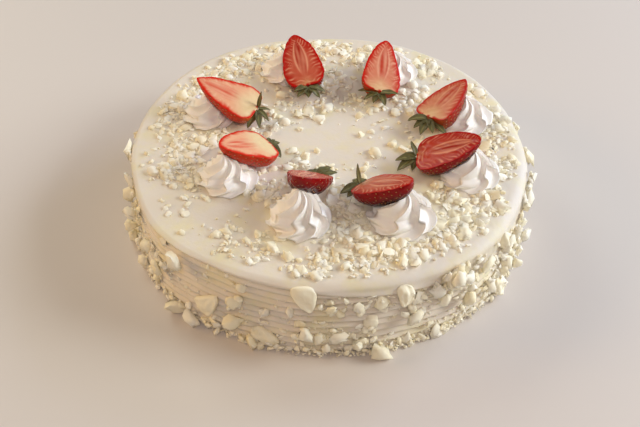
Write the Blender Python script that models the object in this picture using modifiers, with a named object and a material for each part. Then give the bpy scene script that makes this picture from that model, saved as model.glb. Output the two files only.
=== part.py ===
"""Strawberry cake: a round cream-frosted cake with a combed side, eight piped
rosettes, each under a strawberry half with its leaves, and the largest flakes
of white chocolate that cling to the side.

Frame: metres, +Z up, the origin at the middle of the cake's flat underside.
The front of the cake is on the -Y side.
"""
import math

import bmesh
import bpy
from mathutils import Matrix, Vector

# ----------------------------------------------------------------- dimensions
TOP_R = 0.1200          # radius of the frosted top, a cake from a 24 cm tin
BASE_R = 0.1238         # radius at the foot
CAKE_H = 0.0523         # height of the flat top
SQUARISH = 0.010        # part of the radius that the outline swells at its four corners
BAND_H = 0.0120         # smooth band between the rim and the first ridge
RIDGES = 8              # comb ridges on the side
RIDGE_DEPTH = 0.0013    # from crest to groove
RIM_ROUND = 0.0055      # rounding of the rim
AROUND = 64             # steps round the cake
GAP = 0.0003            # clearance between neighbouring solids
FLAKE_GAP = 0.0007      # from the side's crests to a flake, which is straight in height

# each rosette: x, y, diameter, height, lobes, twist in degrees, first lobe's direction
ROSETTES = [
    (-0.0755, 0.0250, 0.036, 0.0185, 6, 60, 20),
    (-0.0300, 0.0745, 0.036, 0.0180, 6, 60, 5),
    (0.0405, 0.0765, 0.037, 0.0175, 6, 55, 40),
    (0.0830, 0.0260, 0.037, 0.0190, 7, 60, 10),
    (0.0815, -0.0285, 0.037, 0.0200, 7, 60, 0),
    (0.0400, -0.0675, 0.038, 0.0230, 7, 65, 25),
    (-0.0165, -0.0705, 0.036, 0.0240, 6, 60, 15),
    (-0.0600, -0.0365, 0.036, 0.0185, 6, 60, 30),
]

# each strawberry half: stem x, y, height over the top, heading and tilt in
# degrees, roll of the cut face, length, width, depth of the round side
BERRIES = [
    (-0.0469, 0.0171, 0.0098, 151, 19, 4, 0.0425, 0.0279, 0.0134),
    (-0.0178, 0.0448, 0.0097, 95, 16, -6, 0.0449, 0.0242, 0.0130),
    (0.0285, 0.0417, 0.0100, 74, 13, 22, 0.0436, 0.0235, 0.0118),
    (0.0585, 0.0180, 0.0098, 25, 26, -11, 0.0352, 0.0271, 0.0132),
    (0.0524, -0.0186, 0.0096, -24, 25, 9, 0.0397, 0.0272, 0.0132),
    (0.0208, -0.0467, 0.0095, -55, 31, 2, 0.0396, 0.0252, 0.0126),
    (-0.0049, -0.0410, 0.0093, -115, 36, 6, 0.0428, 0.0225, 0.0120),
    (-0.0332, -0.0180, 0.0096, -157, 23, 3, 0.0380, 0.0270, 0.0128),
]

LEAF_T = 0.0008         # thickness of a leaf crown
LEAF_BACK = 0.0012      # from the berry's blunt end to the crown
LEAF_HALF = 17          # half a leaf's width at its middle, as an angle in degrees
# each leaf: turn from straight behind the berry in degrees, rise in degrees, length
CROWNS = [
    [(-78, 20, 0.011), (-45, -10, 0.013), (-8, 14, 0.012), (28, -10, 0.012), (68, -12, 0.012)],
    [(-75, 10, 0.011), (-38, -22, 0.011), (0, -20, 0.012), (36, -20, 0.011), (76, 12, 0.012)],
    [(-80, 8, 0.012), (-40, -20, 0.012), (-4, -22, 0.011), (34, -18, 0.012), (78, -5, 0.012)],
    [(-78, 4, 0.013), (-40, -15, 0.013), (-2, -20, 0.013), (38, -20, 0.012), (76, 6, 0.012)],
    [(-78, 6, 0.012), (-40, -15, 0.013), (0, 0, 0.013), (38, -10, 0.013), (76, 10, 0.012)],
    [(-78, 0, 0.012), (-40, -18, 0.013), (-4, -10, 0.012), (34, 12, 0.012), (74, 28, 0.013)],
    [(-76, 10, 0.010), (-38, -20, 0.011), (0, -20, 0.011), (38, -12, 0.011), (76, 8, 0.010)],
    [(-76, 10, 0.009), (-38, -18, 0.010), (0, -20, 0.010), (38, -18, 0.010), (76, 8, 0.009)],
]

# each flake on the side: direction in degrees, height of its middle, width,
# height, thickness, turn in its own plane in degrees
FLAKES = [
    (-96.0, 0.0425, 0.0180, 0.0160, 0.0042, 20),
    (-122.0, 0.0220, 0.0230, 0.0110, 0.0030, -18),
    (-106.0, 0.0085, 0.0170, 0.0100, 0.0032, 12),
    (-70.0, 0.0420, 0.0110, 0.0125, 0.0034, 0),
    (-56.0, 0.0405, 0.0140, 0.0095, 0.0036, -30),
    (-36.0, 0.0415, 0.0140, 0.0105, 0.0036, 15),
    (-37.0, 0.0075, 0.0130, 0.0100, 0.0034, -10),
    (81.5, 0.0315, 0.0185, 0.0150, 0.0042, -15),
    (134.0, 0.0220, 0.0200, 0.0110, 0.0032, 22),
    (52.0, 0.0200, 0.0150, 0.0110, 0.0034, 10),
]


# -------------------------------------------------------------------- helpers
for old in list(bpy.data.objects):
    bpy.data.objects.remove(old, do_unlink=True)

cake_parts = bpy.data.collections.new("strawberry_cake")
bpy.context.scene.collection.children.link(cake_parts)


def material(name, colour, rough):
    """A plain Principled material."""
    mat = bpy.data.materials.new(name)
    mat.use_nodes = True
    bsdf = mat.node_tree.nodes["Principled BSDF"]
    bsdf.inputs["Base Color"].default_value = (*colour, 1.0)
    bsdf.inputs["Roughness"].default_value = rough
    bsdf.inputs["Metallic"].default_value = 0.0
    return mat


def add_object(name, bm, mat):
    """The bmesh as a smooth shaded object of the cake's collection."""
    bmesh.ops.recalc_face_normals(bm, faces=bm.faces)
    mesh = bpy.data.meshes.new(name)
    bm.to_mesh(mesh)
    bm.free()
    mesh.materials.append(mat)
    mesh.shade_smooth()
    mesh.set_sharp_from_angle(angle=math.radians(40))
    ob = bpy.data.objects.new(name, mesh)
    cake_parts.objects.link(ob)
    return ob


frosting = material("whipped_cream", (0.80, 0.74, 0.62), 0.55)
berry_flesh = material("strawberry", (0.62, 0.05, 0.03), 0.35)
leaf_green = material("strawberry_leaf", (0.10, 0.14, 0.04), 0.60)
white_chocolate = material("white_chocolate", (0.74, 0.62, 0.36), 0.50)


# ------------------------------------------------------------------- the cake
def swell(angle):
    """The outline's squarish swelling, 1 on average."""
    return 1.0 - SQUARISH * math.cos(4 * angle)


def side_radius(z):
    """The radius of the side's crests at a height."""
    return TOP_R + 0.0008 + (BASE_R - TOP_R - 0.0008) * (1 - z / CAKE_H) ** 1.3


# a profile from the middle of the top down to the middle of the underside
profile = [(0.0, CAKE_H), (0.060, CAKE_H), (TOP_R - 1.6 * RIM_ROUND, CAKE_H)]
for step in range(1, 5):
    turn = math.radians(90 * step / 4)
    profile.append((TOP_R - 1.6 * RIM_ROUND * (1 - math.sin(turn)),
                    CAKE_H - RIM_ROUND * (1 - math.cos(turn))))
ridge_top = CAKE_H - BAND_H
pitch = (ridge_top - 0.0030) / RIDGES
profile.append((side_radius(ridge_top), ridge_top + 0.0006))
for n in range(RIDGES):
    z = ridge_top - n * pitch
    profile.append((side_radius(z) - RIDGE_DEPTH, z - 0.22 * pitch))
    profile.append((side_radius(z), z - 0.72 * pitch))
profile.append((BASE_R - 0.0008, 0.0010))
profile.append((BASE_R - 0.0020, 0.0))
profile.append((0.0, 0.0))

outline = bpy.data.meshes.new("cake_profile")
outline.from_pydata([(r, 0.0, z) for r, z in profile],
                    [(i, i + 1) for i in range(len(profile) - 1)], [])
turned = bpy.data.objects.new("cake_profile", outline)
cake_parts.objects.link(turned)
screw = turned.modifiers.new("turn", 'SCREW')
screw.steps = screw.render_steps = AROUND
screw.use_merge_vertices = True
screw.merge_threshold = 0.00005
bpy.context.view_layer.update()
solid = bpy.data.meshes.new_from_object(
    turned.evaluated_get(bpy.context.evaluated_depsgraph_get()))
bpy.data.objects.remove(turned, do_unlink=True)
bm = bmesh.new()
bm.from_mesh(solid)
bmesh.ops.remove_doubles(bm, verts=bm.verts, dist=0.00002)
for v in bm.verts:
    f = swell(math.atan2(v.co.y, v.co.x))
    v.co.x *= f
    v.co.y *= f
add_object("cake", bm, frosting)


# ------------------------------------------------------------ the strawberries
def fullness(t):
    """A strawberry's half width, from 0 at the stem to 1 at its widest and 0 at the tip."""
    a, b = 0.32, 0.62
    top = (a / (a + b)) ** a * (b / (a + b)) ** b
    return max(t, 0.0) ** a * max(1 - t, 0.0) ** b / top


def berry_frame(spec):
    """The matrix of a berry: X from stem to tip, Y across, Z out of the cut face."""
    x, y, z, heading, tilt, roll = spec[:6]
    h, a, r = (math.radians(v) for v in (heading, tilt, roll))
    along = Vector((math.cos(h) * math.cos(a), math.sin(h) * math.cos(a), math.sin(a)))
    across = Vector((-math.sin(h), math.cos(h), 0.0))
    out = along.cross(across)
    across, out = (across * math.cos(r) + out * math.sin(r),
                   out * math.cos(r) - across * math.sin(r))
    m = Matrix((along, across, out)).transposed().to_4x4()
    m.translation = Vector((x, y, CAKE_H + z))
    return m


def half_berry(spec, grow=0.0):
    """Half a strawberry: a sphere drawn out to a cone and cut lengthwise."""
    length, width, depth = spec[6:]
    bm = bmesh.new()
    bmesh.ops.create_uvsphere(bm, u_segments=16, v_segments=9, radius=1.0)
    for v in bm.verts:
        t = (1.0 - v.co.z) / 2
        ring = math.hypot(v.co.x, v.co.y)
        c, s = (v.co.x / ring, v.co.y / ring) if ring > 1e-6 else (0.0, 0.0)
        g = fullness(t)
        v.co = Vector((length * t + grow * (2 * t - 1),
                       (width / 2 * g + grow) * c, (depth * g + grow) * s))
    bmesh.ops.bisect_plane(bm, geom=bm.verts[:] + bm.edges[:] + bm.faces[:], dist=1e-6,
                           plane_co=(0, 0, grow), plane_no=(0, 0, 1), clear_outer=True)
    bmesh.ops.holes_fill(bm, edges=[e for e in bm.edges if e.is_boundary], sides=0)
    bmesh.ops.transform(bm, matrix=berry_frame(spec), verts=bm.verts)
    return bm


for n, spec in enumerate(BERRIES, 1):
    add_object(f"strawberry_{n}", half_berry(spec), berry_flesh)


# ---------------------------------------------------------------- the rosettes
def rosette(spec):
    """A piped swirl: a lobed ring that narrows and twists up to a point."""
    x, y, across, height, lobes, twist, first = spec
    steps = lobes * 4
    rings = [(0.90, 0.0), (1.0, 0.14), (0.95, 0.34), (0.76, 0.60), (0.48, 0.82)]
    bm = bmesh.new()
    loops = []
    for size, up in rings:
        loop = []
        for i in range(steps):
            a = 2 * math.pi * i / steps
            lobe = 1.0 - 0.13 * (0.5 - 0.5 * math.cos(lobes * a)) ** 1.5
            turn = a + math.radians(first + twist * up)
            r = across / 2 * size * lobe
            loop.append(bm.verts.new((x + r * math.cos(turn), y + r * math.sin(turn),
                                      CAKE_H + GAP + height * up)))
        loops.append(loop)
    peak = bm.verts.new((x, y, CAKE_H + GAP + height))
    for low, high in zip(loops, loops[1:]):
        for i in range(steps):
            j = (i + 1) % steps
            bm.faces.new((low[i], low[j], high[j], high[i]))
    for i in range(steps):
        bm.faces.new((loops[-1][i], loops[-1][(i + 1) % steps], peak))
    bm.faces.new(loops[0][::-1])
    return bm


cutters = bpy.data.collections.new("cutters")
bpy.context.scene.collection.children.link(cutters)
for n, (spec, berry) in enumerate(zip(ROSETTES, BERRIES), 1):
    swirl = add_object(f"rosette_{n}", rosette(spec), frosting)
    dent = add_object(f"berry_dent_{n}", half_berry(berry, grow=GAP), berry_flesh)
    cake_parts.objects.unlink(dent)
    cutters.objects.link(dent)
    dent.hide_render = True
    dent.display_type = 'WIRE'
    press = swirl.modifiers.new("berry pressed in", 'BOOLEAN')
    press.operation = 'DIFFERENCE'
    press.solver = 'EXACT'
    press.object = dent


# ------------------------------------------------------------- the leaf crowns
def crown(berry, leaves):
    """A fan of pointed leaves behind the stem, one thin closed body."""
    frame = berry_frame(berry)
    heading = math.radians(berry[3])
    base = frame @ Vector((-LEAF_BACK, 0.0, -0.0010))
    down = Vector((0, 0, -LEAF_T))
    rim = [(base, base + down)]

    def add(turn, rise, reach):
        """A point and its underside, at a turn from straight behind the berry."""
        a = heading + math.pi + math.radians(turn)
        e = math.radians(rise)
        out = Vector((math.cos(a) * math.cos(e), math.sin(a) * math.cos(e), math.sin(e)))
        under = Vector((math.cos(a) * math.sin(e), math.sin(a) * math.sin(e), -math.cos(e)))
        p = base + out * reach
        p.z = max(p.z, CAKE_H + 0.0006 + LEAF_T)
        rim.append((p, p + under * LEAF_T))

    turns = [leaf[0] for leaf in leaves]
    ends = LEAF_HALF + 1
    halfway = [turns[0] - ends] + [(a + b) / 2 for a, b in zip(turns, turns[1:])] + [turns[-1] + ends]
    for i, (turn, rise, reach) in enumerate(leaves):
        add(halfway[i], -8, 0.0030)
        add(turn - LEAF_HALF, rise, reach * 0.55)
        add(turn, rise, reach)
        add(turn + LEAF_HALF, rise, reach * 0.55)
    add(halfway[-1], -8, 0.0030)
    bm = bmesh.new()
    top = [bm.verts.new(p) for p, q in rim]
    low = [bm.verts.new(q) for p, q in rim]
    count = len(rim)
    for i in range(1, count - 1):
        bm.faces.new((top[0], top[i], top[i + 1]))
        bm.faces.new((low[0], low[i + 1], low[i]))
    for i in range(count):
        j = (i + 1) % count
        bm.faces.new((top[i], low[i], low[j], top[j]))
    return bm


for n, (berry, leaves) in enumerate(zip(BERRIES, CROWNS), 1):
    add_object(f"calyx_{n}", crown(berry, leaves), leaf_green)


# -------------------------------------------------- the largest flakes, on the side
def flake(spec):
    """A flake of white chocolate: a flattened sphere lying against the side."""
    direction, z, wide, high, thick, turn = spec
    a = math.radians(direction)
    r = side_radius(z - high / 2) * swell(a) + FLAKE_GAP + thick / 2
    bm = bmesh.new()
    bmesh.ops.create_uvsphere(bm, u_segments=10, v_segments=6, radius=1.0)
    for v in bm.verts:
        edge = 1 + 0.10 * math.sin(3 * math.atan2(v.co.y, v.co.x) + direction)
        v.co = Vector((v.co.x * wide / 2 * edge, v.co.y * high / 2 * edge, v.co.z * thick / 2))
    bmesh.ops.rotate(bm, matrix=Matrix.Rotation(math.radians(turn), 3, 'Z'), verts=bm.verts)
    for v in bm.verts:
        bend = v.co.x ** 2 / (2 * r)
        v.co = Vector((v.co.z - bend + r, v.co.x, v.co.y + z))
    bmesh.ops.rotate(bm, matrix=Matrix.Rotation(a, 3, 'Z'), verts=bm.verts)
    return bm


for n, spec in enumerate(FLAKES, 1):
    add_object(f"chocolate_flake_{n}", flake(spec), white_chocolate)
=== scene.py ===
"""Strawberry cake: the finished look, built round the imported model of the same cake.

The cake stands as served: frosting first, then the piped rosettes, the
strawberry halves with their seeds and leaves, and last the white chocolate.
"""
import math

import bpy
import numpy as np
from mathutils import Matrix, Vector


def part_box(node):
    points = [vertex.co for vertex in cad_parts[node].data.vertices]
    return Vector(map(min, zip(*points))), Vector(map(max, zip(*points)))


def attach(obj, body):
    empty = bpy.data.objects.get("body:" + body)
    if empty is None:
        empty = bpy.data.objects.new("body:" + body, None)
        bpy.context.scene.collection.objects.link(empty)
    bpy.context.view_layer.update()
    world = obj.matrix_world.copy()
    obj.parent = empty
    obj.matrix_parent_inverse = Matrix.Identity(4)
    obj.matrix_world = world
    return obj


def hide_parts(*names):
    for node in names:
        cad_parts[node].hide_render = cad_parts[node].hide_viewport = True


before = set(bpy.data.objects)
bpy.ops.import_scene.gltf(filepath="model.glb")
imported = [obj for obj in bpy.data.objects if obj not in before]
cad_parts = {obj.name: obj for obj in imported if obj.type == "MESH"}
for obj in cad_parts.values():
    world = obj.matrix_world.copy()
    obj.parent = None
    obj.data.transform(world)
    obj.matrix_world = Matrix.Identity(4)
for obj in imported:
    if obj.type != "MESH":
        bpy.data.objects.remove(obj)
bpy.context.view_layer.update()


# ---------------------------------------------------------------- table and light
# A plain pale tabletop in a bright room: large cool windows at the right and behind,
# warm light from the left, and weaker soft light from the front and the far side.
def hex_colour(code):
    """A colour in sRGB hex as linear red, green, blue and alpha."""
    parts = [int(code[i:i + 2], 16) / 255 for i in (1, 3, 5)]
    return tuple(c / 12.92 if c <= 0.04045 else ((c + 0.055) / 1.055) ** 2.4 for c in parts) + (1.0,)


def add_node(tree, kind, output, inputs=None, **settings):
    """Add a shader node with its settings and inputs, and give back one of its outputs.
    An input is a socket to link, a colour in hex or a plain value. A noise's scale is
    1000 over the size in millimetres of its blobs."""
    made = tree.nodes.new(kind)
    for key, value in settings.items():
        setattr(made, key, value)
    for key, value in (inputs or {}).items():
        if isinstance(value, bpy.types.NodeSocket):
            tree.links.new(value, made.inputs[key])
        else:
            made.inputs[key].default_value = hex_colour(value) if isinstance(value, str) else value
    return made.outputs[output]


def new_material(name, **sockets):
    """A Principled material with the sockets that are the same all over it."""
    mat = bpy.data.materials.new(name)
    mat.use_nodes = True
    shader = mat.node_tree.nodes["Principled BSDF"]
    for key, value in sockets.items():
        plain = hex_colour(value) if isinstance(value, str) else value
        shader.inputs[key.replace("_", " ")].default_value = plain
    return mat, mat.node_tree, shader


def add_object(name, data):
    """A new object in the scene."""
    ob = bpy.data.objects.new(name, data)
    bpy.context.scene.collection.objects.link(ob)
    return ob


TABLE_SIDE = 9.0
bpy.ops.mesh.primitive_plane_add(size=TABLE_SIDE, location=(0, 0, -0.0002))
table = bpy.context.object
table.name = "table"
laminate, tree, shader = new_material("pale_laminate", Base_Color="#d6d0ca", Roughness=0.55)
grain = add_node(tree, "ShaderNodeTexNoise", "Fac", {"Scale": 1000 / 1.1, "Detail": 2.0})
tree.links.new(add_node(tree, "ShaderNodeBump", "Normal",
                        {"Height": grain, "Strength": 0.05, "Distance": 0.0004}),
               shader.inputs["Normal"])
table.data.materials.append(laminate)

world = bpy.data.worlds.new("room")
bpy.context.scene.world = world
world.use_nodes = True
world.node_tree.nodes["Background"].inputs["Color"].default_value = hex_colour("#fff1e2")
world.node_tree.nodes["Background"].inputs["Strength"].default_value = 0.10


LIGHT_AWAY = 2.4            # from the cake's foot
LIGHT_SIDE = 1.0


def add_light(name, direction, height, watts, colour):
    """A square soft light at a direction and height in degrees, aimed at the cake."""
    data = bpy.data.lights.new(name, 'AREA')
    data.size = LIGHT_SIDE
    data.energy = watts
    data.color = hex_colour(colour)[:3]
    ob = add_object(name, data)
    around, up = math.radians(direction), math.radians(height)
    ob.location = LIGHT_AWAY * Vector((math.cos(up) * math.cos(around),
                                       math.cos(up) * math.sin(around), math.sin(up)))
    ob.rotation_euler = (-ob.location).to_track_quat('-Z', 'Y').to_euler()


add_light("window_right", 0, 30, 39.5, "#f8fcfb")
add_light("window_behind", 35, 24, 28.5, "#d2dfff")
add_light("room_left", 180, 24, 19.5, "#ffd290")
add_light("room_front", -90, 50, 15.5, "#ffeae2")
add_light("room_behind", 130, 35, 15.0, "#fcfff3")

# a 50 mm lens on full frame, held in front of the cake and looking down at 43 degrees
camera_data = bpy.data.cameras.new("camera")
camera_data.lens = 50.0
camera_data.sensor_width = 36.0
camera = add_object("camera", camera_data)
camera.matrix_world = (Matrix.Translation((0.0, -0.4283, 0.3917))
                       @ Matrix.Rotation(math.radians(0.73), 4, 'Z')
                       @ Matrix.Rotation(math.radians(90 - 43.0), 4, 'X')
                       @ Matrix.Rotation(math.radians(0.58), 4, 'Z'))
bpy.context.scene.camera = camera
bpy.context.scene.view_settings.view_transform = 'Standard'


# ---------------------------------------------------------------- the frosted body
# An uncut sponge cake under whipped cream. The top is smoothed with a palette
# knife, the side is drawn round with a comb, and a smooth band of cream is left
# between the rim and the first groove, broad at the right and thin at the left.
body_low, body_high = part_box("cake")
CAKE_H = body_high[2]
FOOT_R = (body_high[0] - body_low[0]) / 2
TOP_R = FOOT_R - 0.0020
SQUARISH = 0.010            # part of the radius that the outline swells at its four corners
RIM_SHARP = 0.0020          # the rim's rounding at its sharpest, and where it is broadest
RIM_BROAD = 0.0078
COMB_PITCH = 0.0046         # between two grooves
COMB_DEPTH = 0.0026
FLAKE_WAVE = math.radians(-96)   # where the band of cream arches over a large flake


def ripple(points, size, seed, count=14):
    """Smooth random relief, about -1 to 1: a sum of sine waves that run in random
    directions, with wavelengths near size."""
    rng = np.random.default_rng(seed)
    way = rng.normal(size=(3, count))
    way *= 2 * np.pi / (np.linalg.norm(way, axis=0) * size * rng.uniform(0.7, 1.5, count))
    return np.sin(points @ way + rng.uniform(0, 2 * np.pi, count)).sum(-1) / math.sqrt(count)


def smooth_step(x):
    """0 below 0, 1 above 1, and smooth between."""
    x = np.clip(x, 0, 1)
    return x * x * (3 - 2 * x)


def around_axis(reach, angle, z):
    """Places at a distance from the cake's axis, a direction and a height."""
    return np.stack([reach * np.cos(angle), reach * np.sin(angle), z], -1)


def unit(vectors):
    """The same directions, each with a length of 1."""
    return vectors / np.maximum(np.linalg.norm(vectors, axis=-1, keepdims=True), 1e-6)


def top_height(x, y):
    """Height of the smoothed top: the flat top with shallow waves and arcs of the knife."""
    flat = np.stack([x, y, 0 * x], -1)
    reach = np.hypot(x, y)
    arcs = np.sin(2 * np.pi * np.hypot(x + 0.03, y - 0.05) / 0.017 + 2 * ripple(flat, 0.09, 3))
    fade = smooth_step((TOP_R - reach) / 0.03)
    return CAKE_H - 0.0004 + 0.00030 * ripple(flat, 0.05, 1) + 0.00007 * arcs * fade


def outline(angle):
    """The top's radius: a circle with four soft corners and slight waves."""
    around = around_axis(TOP_R, angle, 0 * angle)
    return TOP_R * (1 - SQUARISH * np.cos(4 * angle)) + 0.0006 * ripple(around, 0.07, 5)


def breadth(angle):
    """0 round the back and the left, rising to 1 at the right front: a power of a cosine."""
    return np.maximum(np.cos(angle - math.radians(-25)), 0) ** 1.5


def rim_round(angle):
    """How far in the rim's rounding starts."""
    return RIM_SHARP + (RIM_BROAD - RIM_SHARP) * breadth(angle) ** 0.6


def band_bottom(angle):
    """Height where the smooth band ends: low at the right, close under the rim at the left."""
    around = around_axis(TOP_R, angle, 0 * angle)
    off = (angle - FLAKE_WAVE + np.pi) % (2 * np.pi) - np.pi
    arch = 0.0014 * np.exp(-(off * TOP_R / 0.011) ** 2)
    return CAKE_H - 0.0030 - 0.0132 * breadth(angle) + arch + 0.0006 * ripple(around, 0.06, 6)


def side_reach(angle, z):
    """Radius of the side: a slight slope outwards to the foot, the smooth band with a
    thick lower lip, and below it soft ridges, each a power of a sine."""
    place = around_axis(TOP_R, angle, z)
    slope = (FOOT_R - TOP_R) * np.maximum(1 - z / CAKE_H, 0) ** 1.3
    wall = outline(angle) + 0.0006 + slope
    bottom = band_bottom(angle)
    under = smooth_step((bottom - z) / 0.0012)
    lip = 0.0008 * np.exp(-((z - bottom - 0.0012) / 0.0016) ** 2)
    wave = 0.0007 * ripple(place * (1, 1, 0.2), 0.08, 7)
    ridge = np.abs(np.sin(np.pi * (z + wave) / COMB_PITCH)) ** 1.5
    depth = COMB_DEPTH * np.clip(0.85 + 0.20 * ripple(place, 0.05, 8), 0.45, 1.15)
    lumps = 0.0003 * ripple(place, 0.03, 9) + 0.00005 * ripple(place, 0.008, 10)
    notch = 0.0007 * np.exp(-((bottom - 0.0010 - z) / 0.0011) ** 2)
    return wall + lumps + (1 - under) * lip - under * (0.0002 + notch + depth * (1 - ridge))


def grid_mesh(name, points, material, poles=(False, False)):
    """A closed tube of rows of points as a smooth object. A row that is a pole becomes
    one point with a fan of triangles, any other end row is left open."""
    rows, columns = points.shape[:2]
    first, last = (1 if poles[0] else 0), (rows - 1 if poles[1] else rows)
    kept = points[first:last]
    index = np.arange(kept.shape[0] * columns).reshape(-1, columns)
    after = np.roll(index, -1, axis=1)
    quads = np.stack([index[:-1], after[:-1], after[1:], index[1:]], -1).reshape(-1, 4).tolist()
    verts = kept.reshape(-1, 3)
    for is_pole, row, ring in ((poles[0], points[0], 0), (poles[1], points[-1], -1)):
        if is_pole:
            hub = np.full(columns, len(verts))
            verts = np.vstack([verts, row.mean(0)])
            fan = (hub, after[0], index[0]) if ring == 0 else (hub, index[-1], after[-1])
            quads += np.stack(fan, -1).tolist()
    mesh = bpy.data.meshes.new(name)
    mesh.from_pydata(verts.tolist(), [], quads)
    mesh.materials.append(material)
    mesh.shade_smooth()
    return add_object(name, mesh)


# Whipped cream: fat and air beaten stiff, so it is matt, bright and lets light in a
# little way. Fine bubbles and knife marks show only as a faint unevenness.
cream, tree, shader = new_material("whipped_cream_knifed", Roughness=0.5, IOR=1.45,
                                   Subsurface_Weight=0.15, Subsurface_Scale=0.0015,
                                   Subsurface_Radius=(1.0, 0.75, 0.5))
where = add_node(tree, "ShaderNodeTexCoord", "Object")
broad = add_node(tree, "ShaderNodeTexNoise", "Fac", {"Vector": where, "Scale": 1000 / 36, "Detail": 3.0})
shade = add_node(tree, "ShaderNodeMix", "Result", {"Factor": broad, "A": "#e6dfd4", "B": "#e3dac7"},
                 data_type='RGBA')
patch = add_node(tree, "ShaderNodeTexNoise", "Fac",
                 {"Vector": where, "Scale": 1000 / 18, "Detail": 4.0, "Roughness": 0.6})
stain = add_node(tree, "ShaderNodeMapRange", "Result",
                 {"Value": patch, "From Min": 0.48, "From Max": 0.70, "To Max": 0.75})
shade = add_node(tree, "ShaderNodeMix", "Result", {"Factor": stain, "A": shade, "B": "#e8dfb4"},
                 data_type='RGBA')
tree.links.new(shade, shader.inputs["Base Color"])
soft = add_node(tree, "ShaderNodeTexNoise", "Fac", {"Vector": where, "Scale": 1000 / 8, "Detail": 3.0})
fine = add_node(tree, "ShaderNodeTexNoise", "Fac",
                {"Vector": where, "Scale": 1000 / 1.4, "Detail": 4.0, "Roughness": 0.6})
bump = add_node(tree, "ShaderNodeBump", "Normal", {"Height": soft, "Strength": 0.35, "Distance": 0.0008})
bump = add_node(tree, "ShaderNodeBump", "Normal",
                {"Height": fine, "Strength": 0.25, "Distance": 0.0003, "Normal": bump})
tree.links.new(bump, shader.inputs["Normal"])

FOOT_EDGE = 0.0010          # height where the side turns under
AROUND, TOP_ROWS, RIM_ROWS, SIDE_ROWS = 600, 34, 13, 112
angle = np.linspace(0, 2 * np.pi, AROUND, endpoint=False)
rows = []
for share in np.linspace(0, 1, TOP_ROWS) ** 0.8:
    reach = (outline(angle) - rim_round(angle)) * share
    x, y = reach * np.cos(angle), reach * np.sin(angle)
    rows.append(np.stack([x, y, top_height(x, y)], -1))
shoulder = rows[-1][:, 2]
for turn in np.linspace(0, np.pi / 2, RIM_ROWS)[1:]:
    z = shoulder - 0.62 * rim_round(angle) * (1 - math.cos(turn))
    reach = (outline(angle) - rim_round(angle) * (1 - math.sin(turn))
             + (side_reach(angle, z) - outline(angle)) * math.sin(turn) ** 4)
    rows.append(around_axis(reach, angle, z))
brim = rows[-1][:, 2]
for share in np.linspace(1, 0, SIDE_ROWS)[1:]:
    z = FOOT_EDGE + (brim - FOOT_EDGE) * share
    reach = side_reach(angle, z)
    rows.append(around_axis(reach, angle, z))
for inwards, z in ((0.0010, 0.0003), (0.0022, 0.0), (0.5, 0.0)):
    reach = np.maximum(side_reach(angle, FOOT_EDGE + 0 * angle) - inwards, 0)
    rows.append(around_axis(reach, angle, z + 0 * angle))
body = grid_mesh("frosted_body", np.array(rows)[::-1], cream, poles=(True, True))
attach(body, "root")
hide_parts("cake")


# ---------------------------------------------------------------- strawberry halves
# Ripe strawberries cut lengthwise through the stem: glossy red skin pitted with
# seeds on the round side, and on the cut side pale flesh with a red edge, white
# fibres that run out to the seeds, and a redder streak along the core.
# Ripeness is 0 for a pale berry and 1 for a deep red one; the other two numbers say
# how blunt the stem end and the tip are, blunter when smaller.
KINDS = [
    (0.18, 0.21, 0.74), (0.80, 0.24, 0.60), (0.55, 0.17, 0.60), (0.50, 0.17, 0.66),
    (0.92, 0.22, 0.56), (0.75, 0.27, 0.52), (0.97, 0.25, 0.60), (0.08, 0.24, 0.66),
]
SEED_SPACING = 0.0034
PIT_DEPTH = 0.00055
FIBRE_SPACING = 0.0029
SAME_WAY = 0.999            # cosine over which two faces count as one flat side


def fullness(t, stem, tip):
    """Half width from stem to tip, at most 1: t to the power stem times 1 - t to the power tip."""
    top = (stem / (stem + tip)) ** stem * (tip / (stem + tip)) ** tip
    return np.clip(t, 0, 1) ** stem * np.clip(1 - t, 0, 1) ** tip / top


def read_berry(node):
    """Place and size of a half, from its CAD solid: its cut face is its largest flat
    side, whose longest direction is the berry's length and whose blunt end is the stem."""
    mesh = bpy.data.objects[node].data
    corner = np.array([v.co[:] for v in mesh.vertices])
    tris = np.array([t.vertices[:] for t in (mesh.calc_loop_triangles() or mesh.loop_triangles)])
    a, b, c = (corner[tris[:, i]] for i in range(3))
    cross = np.cross(b - a, c - a)
    area = np.linalg.norm(cross, axis=1)
    facing = cross / np.maximum(area, 1e-12)[:, None]
    alike = facing @ facing.T > SAME_WAY
    out = facing[np.argmax(alike @ area)]
    face = (facing @ out) > SAME_WAY
    middle = (a + b + c)[face] / 3
    weight = area[face] / area[face].sum()
    centre = weight @ middle
    spread = np.vstack([a[face], b[face], c[face]]) - centre
    tripled = np.tile(weight, 3)
    along = np.linalg.svd((spread * tripled[:, None]).T @ spread)[0][:, 0]
    reach = spread @ along
    if reach.max() < -reach.min():
        along = -along
        reach = -reach
    across = np.cross(out, along)
    half = np.abs(spread @ across).max()
    depth = -((corner - centre) @ out).min()
    return {"stem": centre + along * reach.min(), "axes": np.array([along, across, out]),
            "length": reach.max() - reach.min(), "half": half, "depth": depth}


def berry_point(berry, t, beta):
    """A point of the smooth half in its own axes: fullness along it, and an ellipse
    round its underside with beta from 0 at one cut edge to pi at the other."""
    g = fullness(t, *berry["blunt"])
    return np.stack([berry["length"] * t, berry["half"] * g * np.cos(beta),
                     -berry["depth"] * g * np.sin(beta)], -1)


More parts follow.
